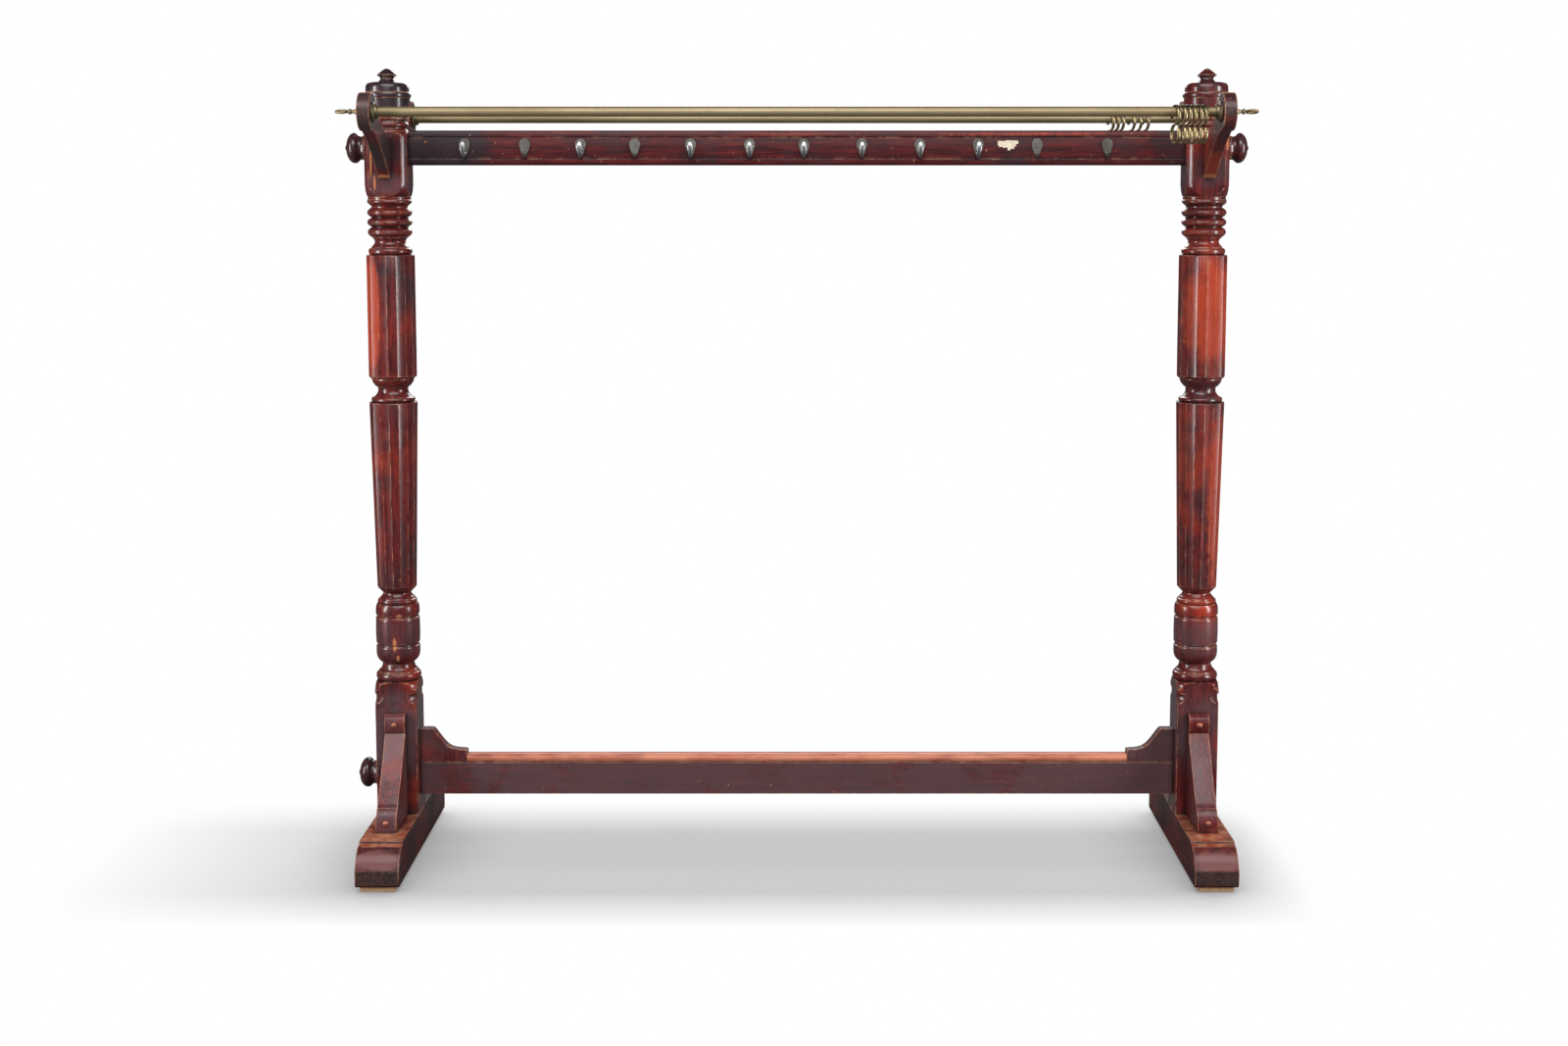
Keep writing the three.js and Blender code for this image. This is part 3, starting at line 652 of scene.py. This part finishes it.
# %% Post finials
finial = [(-17.7, 8), (0.4, 8), (0.6, 19), (2, 19.6)]
finial += through([(3, 18), (5, 15.8), (8, 15)]) + bead(9, 11.6, 15.2, 17.4)
finial += through([(12, 17), (13.6, 21), (15, 23.2)]) + through([(16.4, 22.6), (22.5, 15.4), (28, 8.4)])
finial += through([(29.4, 6), (30.6, 2.6), (31, 0.3)])
for side, x in (("left", -1), ("right", 1)):
    make_piece(f"{side}_turned_finial", *moved(turned(finial), x * POST_X, z=POST_TOP), UPRIGHT, "frame",
               f"{side}_post_finial", crease=22)
print("finials stand", finial[-1][0], "mm above the posts")

# %% [markdown]
# ## Feet, pads and braces
# Each trestle foot is a thick bar, bullnosed at both ends. A brace curves up from it to the post in
# front and behind, stepped at each end where two round-headed screws hold it.

# %% Feet and the pale blocks under them
half_foot = FOOT_HIGH.y
FOOT_HALF_WIDTH = 50
bullnose = ((6, 60), (14, 73), (25, 85), (39, 94))
nose = [(-half_foot, 50)] + through([(-half_foot + inset, z) for inset, z in bullnose])
nose += [(-half_foot + 54, 97), (-half_foot + 55, FOOT_TOP)]
front_end = [(-half_foot + 6, FOOT_LOW.z), (-half_foot, FOOT_LOW.z + 6), *nose]
foot_outline = front_end + [(-y, z) for y, z in reversed(front_end)]
foot_solid = board(foot_outline, -FOOT_HALF_WIDTH, FOOT_HALF_WIDTH, "x")
for side, x in (("left", -1), ("right", 1)):
    make_piece(f"{side}_shaped_foot", *moved(foot_solid, x * POST_X), CROSSWAYS, "frame", f"{side}_foot",
               rounding=2.2)
    for end in ("front", "rear"):
        low, high = box_mm(f"{end}_{side}_floor_pad")
        outline = [(low.y, low.z), (high.y, low.z), (high.y, high.z), (low.y, high.z)]
        make_piece(f"{end}_{side}_pine_pad", *board(outline, low.x, high.x, "x"), PINE, "frame",
                   f"{end}_{side}_floor_pad", rounding=1.0, slot="pine")
print("feet are", round(2 * half_foot), "mm long")

# %% Braces and their screws
reach = 144
BRACE_HALF_WIDTH = 23.5
side_view = [(-0.3, 0.3), (-reach, 0.3)]
side_view += through([(-reach, 4), (-reach + 2, 22), (-reach + 8, 38), (-reach + 16, 48)])
side_view += [(-reach + 21.5, 51.5)]
side_view += bezier((-reach + 21.8, 52), (-84, 94), (-50, 140), (-15, 200))
side_view += through([(-18.5, 203), (-22.5, 213), (-23, 226), (-19, 237), (-11, 243.5), (-5, 245)])
side_view += [(-0.3, 245)]
brace_outline = [(y - HALF_BLOCK, z + FOOT_TOP) for y, z in side_view]
brace_solid = board(brace_outline, -BRACE_HALF_WIDTH, BRACE_HALF_WIDTH, "x")
screw_dome = through([(-4, 7), (1.2, 7), (3.6, 5.9), (5.3, 3.2), (5.9, 0.2)])


def domed_screw(name, x, y, z, along, finish=COPPER, size=1.0, slot="pewter"):
    """A round screw head sunk a little into the wood; along is the way it faces."""
    points, faces = turned([(h * size, r * size) for h, r in screw_dome], 20)
    return make_piece(name, placed(points, along, (x, y, z)), faces, finish, "frame", crease=40, slot=slot)


for side, x in (("left", -1), ("right", 1)):
    for end, y in (("front", 1), ("rear", -1)):
        solid = moved(mirrored(brace_solid, 1, y), x * POST_X)
        make_piece(f"{end}_{side}_curved_brace", *solid, BRACE_WOOD, "frame", f"{end}_{side}_brace",
                   rounding=1.6, crease=25)
        upper = (x * POST_X, y * (-HALF_BLOCK - 22.6), FOOT_TOP + 221)
        lower = (x * POST_X, y * (-HALF_BLOCK - reach + 2.4), FOOT_TOP + 22)
        domed_screw(f"{end}_{side}_upper_screw", *upper, (0, -y, 0.05))
        domed_screw(f"{end}_{side}_lower_screw", *lower, (0, -y, 0.2))
print("braces reach", reach, "mm out from the face of the block")

# %% [markdown]
# ## The wooden rails
# The hook rail has bevelled edges and a line scratched along it near each edge. The low rail has
# a rounded capping on top, and a shaped bracket at each end to stiffen it against the post.

# %% Top rail
low, high = box_mm("top_rail")
half = high.y
edge = [(5, 0), (0.6, 4.2), (0, 6), (0, 14), (1.5, 15.2), (1.7, 16.4), (0.2, 17.4), (0, 18.4)]
front_face = [(-half + inset, low.z + up) for inset, up in edge]
front_face += [(-half + inset, high.z - up) for inset, up in reversed(edge)]
rail_outline = front_face + [(-y, z) for y, z in reversed(front_face)]
make_piece("hook_rail", *board(rail_outline, low.x, high.x, "x"), HOOK_RAIL, "frame", "top_rail",
           rounding=0.5)
print("hook rail is", round(high.x - low.x), "mm long")

# %% Bottom rail, capping and brackets
low, high = box_mm("bottom_rail")
outline = [(low.y, low.z), (high.y, low.z), (high.y, high.z), (low.y, high.z)]
make_piece("low_rail", *board(outline, low.x, high.x, "x"), LOW_RAIL, "frame", "bottom_rail", rounding=1.5)
low, high = box_mm("bottom_rail_capping")
half, tall = high.y, high.z - low.z
cheek = [(-half + 4, 0), (-half + 3.4, 2.6)]
cheek += through([(-half + 1, 4.4), (-half, 9), (-half + 1.6, 14), (-half + 5, 17.6), (-half + 8, tall)])
cheek = [(y, z + low.z) for y, z in cheek]
capping = cheek + [(-y, z) for y, z in reversed(cheek)]
make_piece("rounded_capping", *board(capping, low.x, high.x, "x"), CAPPING, "frame",
           "bottom_rail_capping", rounding=0.4)
low, high = box_mm("left_rail_bracket")
length, tall = high.x - low.x, high.z - low.z
bracket = [(0, 0), (length, 0), (length, 28), (length - 3, 29.5), (length - 24, 31)]
bracket += bezier((length - 25, 31.5), (62, 34), (54, 52), (34, tall - 3))[1:]
bracket += [(30.5, tall), (0, tall)]
bracket = [(low.x + x, low.z + z) for x, z in bracket]
bracket_solid = board(bracket, low.y, high.y, "y")
for side, x in (("left", 1), ("right", -1)):
    make_piece(f"{side}_shaped_bracket", *mirrored(bracket_solid, x), BRACE_WOOD, "frame",
               f"{side}_rail_bracket", rounding=1.2, crease=25)
    domed_screw(f"{side}_bracket_screw", x * (low.x + 66), -2, low.z + 39, (0.35 * x, 0, 1), size=0.7)
print("rails done")

# %% [markdown]
# ## Knobs
# A turned knob hides the head of each long bolt that pulls a rail up to its post. The one at the
# lower right has been lost, and only its bolt hole is left.

# %% Turned knobs
neck = [(-142, 7), (0.3, 7), (0.3, 30.4)] + through([(1, 31), (3.5, 31.2), (6, 30)])
neck += through([(7, 28.4), (11, 27), (15, 27.4), (18.5, 29.6)])
crown = through([(20, 31.4), (24, 34.4), (29, 35), (34, 33.6), (39, 29.6), (43, 23.4), (45.5, 16),
                 (46.6, 9.6)])
nose = through([(47.2, 7.4), (48.8, 5.6), (50.2, 3), (50.8, 0.3)])
knob_profile = neck + crown + nose
for name, x in (("left_top_knob", -1), ("right_top_knob", 1), ("left_bottom_knob", -1)):
    points, faces = turned(knob_profile, 56)
    at = (x * (POST_X + HALF_BLOCK), 0, middle(name).z)
    make_piece(f"{name}_turned", placed(points, (x, 0, 0), at), faces, KNOB, name, name, crease=26)
print("knobs stand", knob_profile[-1][0], "mm off the posts")

# %% [markdown]
# ## Arms and brass rails
# Each arm is sawn from a board and reaches out and up to a round head, which is bored for the
# brass rail. A brass rose lines the bore, and the rail ends in a cast eye outside the head.

# %% Arms
HEAD = 42.0
BORE = RAIL_RADIUS + 1


def on_head(degrees, radius=HEAD):
    angle = math.radians(degrees)
    return (-RAIL_Y + radius * math.cos(angle), RAIL_Z + radius * math.sin(angle))


back = -HALF_BLOCK - 0.3
under = bezier(on_head(284), (-RAIL_Y + 36, 1697), (-112, 1650), (-64, 1602))
heel = bezier((-64, 1602), (-59, 1599), (-54, 1600), (back, 1610), 6)[1:]
over = bezier((back, 1694), (-109, 1700), (-RAIL_Y + 76, RAIL_Z - 20), on_head(8))
outer = arc((-RAIL_Y, RAIL_Z), HEAD, 16, 284, 44)[:-1] + under + heel + over[:-1]
arm_half = (box_mm("front_left_arm")[1].x - box_mm("front_left_arm")[0].x) / 2
inner = arc((-RAIL_Y, RAIL_Z), BORE, 16, -344, 40)
arm_outline = outer + [on_head(12)] + inner
arm_solid = board(arm_outline, -arm_half, arm_half, "x")
print("arm outline points:", len(arm_outline))
for side, x in (("left", -1), ("right", 1)):
    for end, y in (("front", 1), ("rear", -1)):
        solid = moved(mirrored(arm_solid, 1, y), x * POST_X)
        make_piece(f"{end}_{side}_sawn_arm", *solid, CROSSWAYS, "frame", f"{end}_{side}_arm",
                   rounding=1.4, crease=28)

# %% Roses, rails and end eyes
rose = [(0, BORE), (0, 22.6), (0.4, 23)] + through([(2.6, 23), (4, 21), (4.8, 18.4)])
rose += through([(5.6, 17), (8, 16), (11, 16), (12, 15)]) + [(12, BORE)]
eye_neck = [(0, 10.5), (1.2, 10.4)] + through([(2, 9.6), (6, 7), (12, 4.6), (17.5, 3.7)])
eye_neck += bead(18, 24, 4.2, 6.5) + through([(24.5, 3.7), (27, 3.6), (29.4, 3.2)])
EYE_RADIUS, EYE_BAR, EYE_TILT, EYE_OUT = 12, 3, 12, 39.5


def ring_loop(major, minor, tilt, centre, around=36, sides=12):
    """An eye of round bar, lying almost flat and tilted about X."""
    lean = math.radians(tilt)
    rings = []
    for k in range(around):
        a = 2 * math.pi * k / around
        ring = []
        for j in range(sides):
            b = 2 * math.pi * j / sides
            out = major + minor * math.cos(b)
            x, y, z = out * math.cos(a), out * math.sin(a), minor * math.sin(b)
            y, z = y * math.cos(lean) - z * math.sin(lean), y * math.sin(lean) + z * math.cos(lean)
            ring.append((x + centre[0], y + centre[1], z + centre[2]))
        rings.append(ring)
    return loft(rings, closed_loop=True)


rail_low, rail_high = box_mm("front_brass_rail")
rod = [(rail_low.x, RAIL_RADIUS - 0.6), (rail_low.x + 0.6, RAIL_RADIUS)]
rod += [(rail_low.x + (rail_high.x - rail_low.x) * k / 12, RAIL_RADIUS) for k in range(1, 12)]
rod += [(rail_high.x - 0.6, RAIL_RADIUS), (rail_high.x, RAIL_RADIUS - 0.6)]
for end, y in (("front", -1), ("rear", 1)):
    points, faces = turned(rod, 40)
    make_piece(f"{end}_brass_rod", placed(points, (1, 0, 0), (0, y * RAIL_Y, RAIL_Z)), faces, BRASS,
               f"{end}_rail", f"{end}_brass_rail", slot="brass")
    for side, x in (("left", -1), ("right", 1)):
        rose_rings = [[(r * math.cos(a), r * math.sin(a), z) for a in ANGLES[::2]] for z, r in rose]
        points, faces = loft(rose_rings, closed_loop=True)
        inner_face = (x * (POST_X - arm_half - 0.3), y * RAIL_Y, RAIL_Z)
        make_piece(f"{end}_{side}_brass_rose", placed(points, (-x, 0, 0), inner_face), faces, ROSE_BRASS,
                   "frame", f"{end}_{side}_rose", slot="brass")
        base = x * (POST_X + arm_half + 0.6)
        points, faces = turned(eye_neck, 28)
        points = placed(points, (x, 0, 0), (base, y * RAIL_Y, RAIL_Z))
        make_piece(f"{end}_{side}_eye_neck", points, faces, BRASS, f"{end}_rail",
                   f"{end}_{side}_rail_loop", slot="brass")
        eye = ring_loop(EYE_RADIUS, EYE_BAR, -EYE_TILT * x, (base + x * EYE_OUT, y * RAIL_Y, RAIL_Z))
        make_piece(f"{end}_{side}_eye", *eye, BRASS, f"{end}_rail", slot="brass")
print("arms and brass rails done")

# %% [markdown]
# ## S-hooks
# Each S-hook is a flat brass strip with rounded edges. It goes over the rail, down in front,
# back under the rail and round a second loop that is open at the front. They hang a little askew.

# %% S-hooks
STRIP_WIDE, STRIP_THICK, STRIP_RADIUS = 7.0, 3.5, 20.7
corner = 1.3
section = []
for across, up, first in ((1, 1, 0), (-1, 1, 90), (-1, -1, 180), (1, -1, 270)):
    centre = (across * (STRIP_WIDE / 2 - corner), up * (STRIP_THICK / 2 - corner))
    section += arc(centre, corner, first, first + 90, 3)
centreline = arc((0, 0), STRIP_RADIUS, -20, 270, 34)[:-1]
centreline += arc((0, -2 * STRIP_RADIUS), STRIP_RADIUS, 90, -215, 36)


def strip_rings(line, twist):
    """The strip's section carried along a line in the YZ plane, then twisted about Z."""
    cosine, sine = math.cos(twist), math.sin(twist)
    rings = []
    for k, (y, z) in enumerate(line):
        before, after = line[max(k - 1, 0)], line[min(k + 1, len(line) - 1)]
        along = Vector((after[0] - before[0], after[1] - before[1])).normalized()
        ring = [(wide, y + off * along[1], z - off * along[0]) for wide, off in section]
        rings.append([(px * cosine - py * sine, px * sine + py * cosine, pz) for px, py, pz in ring])
    return rings


s_hook = loft(strip_rings(centreline, math.radians(12)))
for end in ("front", "rear"):
    for number in range(1, 7):
        node_name = f"{end}_s_hook_{number}"
        low, high = box_mm(node_name)
        at = ((low.x + high.x) / 2, (low.y + high.y) / 2, high.z - STRIP_RADIUS - STRIP_THICK / 2)
        make_piece(f"{end}_brass_s_{number}", *moved(s_hook, *at), HOOK_BRASS, f"{end}_hook_{number}",
                   node_name, crease=50, slot="brass")
print("S-hook rings:", len(centreline))

# %% [markdown]
# ## Coat hooks
# Each hook is a cast pear-shaped plate held by two screws, with a prong that drops, curls forward
# and rises to a small leaf. Four have lost the prong and keep only its stump.

# %% Coat hooks
plate_edge = bezier((0, -23), (4.5, -23), (7, -11), (10.5, -1), 9)[:-1]
plate_edge += bezier((10.5, -1), (15.5, 11), (9.5, 20), (0, 20), 11)
left_edge = [(-x, z) for x, z in reversed(plate_edge[1:-1])]
plate_outline = plate_edge + left_edge
PLATE_THICK = 3.2
prong_path = [
    (1, -12, 6, 2.2), (4, -16, 4.8, 2.3), (9, -20, 4, 2.2), (17, -22, 3.4, 2), (24, -19, 3.4, 1.8),
    (29, -12, 4.2, 1.6), (31.2, -4, 5.4, 1.4), (31.4, 3, 6.2, 1.3), (30.4, 8, 5.6, 1.2),
    (29.2, 11.5, 3.6, 1.1), (28.8, 13, 1.2, 0.8),
]


def prong_rings(stations):
    """Oval rings from stations that give distance out, height, half width and half thickness."""
    rings = []
    for k, (out, up, wide, thick) in enumerate(stations):
        before, after = stations[max(k - 1, 0)], stations[min(k + 1, len(stations) - 1)]
        along = Vector((before[0] - after[0], after[1] - before[1])).normalized()
        ring = []
        for j in range(16):
            angle = 2 * math.pi * j / 16
            off = thick * math.sin(angle)
            ring.append((wide * math.cos(angle), -out + off * along[1], up - off * along[0]))
        rings.append(ring)
    return rings


HOOK_Z = box_mm("coat_hook_01")[1].z - 20
BROKEN = (2, 4, 11, 12)
for number in range(1, 13):
    node_name = f"coat_hook_{number:02d}"
    low, high = box_mm(node_name)
    x, y = (low.x + high.x) / 2, high.y
    shifted = [(px + x, pz + HOOK_Z) for px, pz in plate_outline]
    make_piece(f"hook_plate_{number:02d}", *board(shifted, y - PLATE_THICK, y, "y"), NICKEL, "frame",
               node_name, rounding=0.9, slot="pewter")
    stations = through(prong_path[:3] if number in BROKEN else prong_path, 3)
    prong = loft(prong_rings(stations))
    finish = NICKEL if number in BROKEN else BRIGHT_NICKEL
    make_piece(f"hook_prong_{number:02d}", *moved(prong, x, y - PLATE_THICK, HOOK_Z), finish, "frame",
               crease=60, slot="pewter")
    for sign in (-1, 1):
        spot = (x + 5.5 * sign, y - 3.0, HOOK_Z + 6 - 5 * sign)
        domed_screw(f"hook_screw_{number:02d}_{'a' if sign < 0 else 'b'}", *spot, (0, -1, 0), NICKEL, 0.32)
print("coat hooks with their prong snapped off:", len(BROKEN))

# %% [markdown]
# ## Small traces of use
# A scrap of a torn paper label is still stuck to the hook rail, and a lone nail head shows at its
# left end.

# %% Paper scrap and nail
rail_front = box_mm("top_rail")[0].y
torn_edge = [(0, 17), (1, 20), (14, 19), (16, 21), (41, 20), (42, 14), (36, 13), (38, 9), (33, 8), (34, 3),
             (27, 4), (24, 0), (20, 1), (19, 7), (12, 5), (8, 8), (3, 7), (1, 11), (-1, 12)]
SCRAP_X, SCRAP_Z, SCRAP_SIZE = 464, 1664, 1.12
scrap = [(SCRAP_X + SCRAP_SIZE * px, SCRAP_Z + SCRAP_SIZE * pz) for px, pz in torn_edge]
make_piece("paper_scrap", *board(scrap, rail_front - 0.35, rail_front + 0.2, "y"), PAPER, "frame", crease=60)
domed_screw("rail_nail", -857, rail_front - 0.2, 1683, (0, -1, 0), COPPER, 0.4)
print("paper scrap is", round(max(px for px, pz in scrap) - min(px for px, pz in scrap)), "mm wide")

# %% [markdown]
# ## Studio
# A pale floor and a white surround. The eye sees both as white, apart from a soft shadow painted
# on the floor under the stand and painted contact shadows round the feet, but they give the stand
# only a little light, as if black screens stood just out of sight. Two tall soft boxes, one far out
# on each side, draw the bright lines down everything turned. A broad one overhead and a weaker one in
# front light the wood, and one behind keeps the back from going black.


# %% Floor and surround
def seen_and_lit(tree, seen, lit):
    """A strength that is one value to the eye and another as light on the stand."""
    looked_at = node(tree, "ShaderNodeLightPath").outputs["Is Camera Ray"]
    return maths(tree, "ADD", maths(tree, "MULTIPLY", looked_at, seen - lit), lit)


floor_mesh = bpy.data.meshes.new("floor")
floor_mesh.from_pydata([(-30, -30, 0), (30, -30, 0), (30, 30, 0), (-30, 30, 0)], [], [(0, 1, 2, 3)])
floor = bpy.data.objects.new("floor", floor_mesh)
scene.collection.objects.link(floor)
floor_finish, tree, shader = new_finish("pale_floor")
place = node(tree, "ShaderNodeSeparateXYZ", Vector=node(tree, "ShaderNodeTexCoord").outputs["Object"])
# Painted shadow: a soft grey patch on the floor under the stand, its depth varying a little with noise.
across = ramp(tree, maths(tree, "ADD", maths(tree, "MULTIPLY", place.outputs[0], 0.25), 0.5, clamp=True),
              (0.08, 0.0), (0.27, 1.0), (0.73, 1.0), (0.79, 0.0))
deep = ramp(tree, maths(tree, "ADD", maths(tree, "MULTIPLY", place.outputs[1], 0.5), 0.5, clamp=True),
            (0.24, 0.0), (0.35, 1.0), (0.57, 1.0), (0.69, 0.0))
shade = maths(tree, "MULTIPLY", across, deep)
mottle = noise(tree, 3.0, 4.0)
shadow_depth = maths(tree, "ADD", maths(tree, "MULTIPLY", mottle, 0.02), 0.38)
level = maths(tree, "SUBTRACT", 1.0, maths(tree, "MULTIPLY", shade, shadow_depth))
# Painted contact shadow: the floor darkens where the stand stands close above it.
level = maths(tree, "MULTIPLY", level, ramp(tree, openness(tree, 0.22), (0.25, 0.45), (0.95, 1.0)))
glow = node(tree, "ShaderNodeEmission", Color=(1, 1, 1, 1),
            Strength=maths(tree, "MULTIPLY", level, seen_and_lit(tree, 1.0, 0.12)))
tree.links.new(glow.outputs[0], tree.nodes["Material Output"].inputs["Surface"])
floor_mesh.materials.append(floor_finish)

surround = bpy.data.worlds.new("white_surround")
surround.use_nodes = True
sky_tree = surround.node_tree
background = sky_tree.nodes["Background"]
direction = node(sky_tree, "ShaderNodeTexCoord").outputs["Generated"]
heading = node(sky_tree, "ShaderNodeSeparateXYZ", Vector=direction)
toward_front = maths(sky_tree, "MULTIPLY", heading.outputs[1], -1.0)
screened = ramp(sky_tree, toward_front, (0.0, 0.05), (0.35, 0.035), (0.65, 0.09), (1.0, 0.15))
looked_at = node(sky_tree, "ShaderNodeLightPath").outputs["Is Camera Ray"]
level = blended(sky_tree, looked_at, screened, (1.0, 1.0, 1.0))
tint = blended(sky_tree, looked_at, (0.84, 0.86, 1.0), (1.0, 1.0, 1.0))
sky_tree.links.new(tint, background.inputs["Color"])
sky_tree.links.new(level, background.inputs["Strength"])
scene.world = surround
print("floor and surround ready")


# %% Soft boxes
def soft_box(name, place, aim, width, height, power):
    lamp = bpy.data.lights.new(name, "AREA")
    lamp.shape = "RECTANGLE"
    lamp.size = width
    lamp.size_y = height
    lamp.energy = power
    holder = bpy.data.objects.new(name, lamp)
    holder.location = place
    holder.rotation_euler = (Vector(aim) - Vector(place)).to_track_quat("-Z", "Y").to_euler()
    holder.visible_camera = False
    scene.collection.objects.link(holder)


for name, x in (("left", -1), ("right", 1)):
    soft_box(f"{name}_soft_box", place=(x * 3.4, -1.5, 1.45), aim=(x * 0.5, 0, 1.1),
             width=0.7, height=2.4, power=100)
soft_box("overhead_soft_box", place=(0, -3.0, 4.3), aim=(0, 0, 0.9), width=4.6, height=2.2, power=185)
soft_box("front_soft_box", place=(0, -6.6, 3.4), aim=(0, 0, 1.0), width=4.0, height=2.0, power=60)
soft_box("rear_soft_box", place=(0, 4.6, 3.2), aim=(0, 0, 1.0), width=3.6, height=2.0, power=90)

# %% [markdown]
# ## Camera
# The eye is a little below the hook rail, nearly five metres away, and looks slightly down.

# %% Camera
EYE_HEIGHT, EYE_DISTANCE, TILT = 1.585, 4.80, 5.89
camera_data = bpy.data.cameras.new("camera")
camera_data.sensor_width = 36
camera_data.lens = 47.29
camera_data.shift_x = -0.0082
camera_data.shift_y = -0.08
camera = bpy.data.objects.new("camera", camera_data)
camera.location = (0, -EYE_DISTANCE, EYE_HEIGHT)
camera.rotation_euler = (math.radians(90 - TILT), 0, 0)
scene.collection.objects.link(camera)
scene.camera = camera
scene.view_settings.view_transform = "Standard"
print("the eye is", EYE_HEIGHT, "m up and", EYE_DISTANCE, "m in front of the posts")
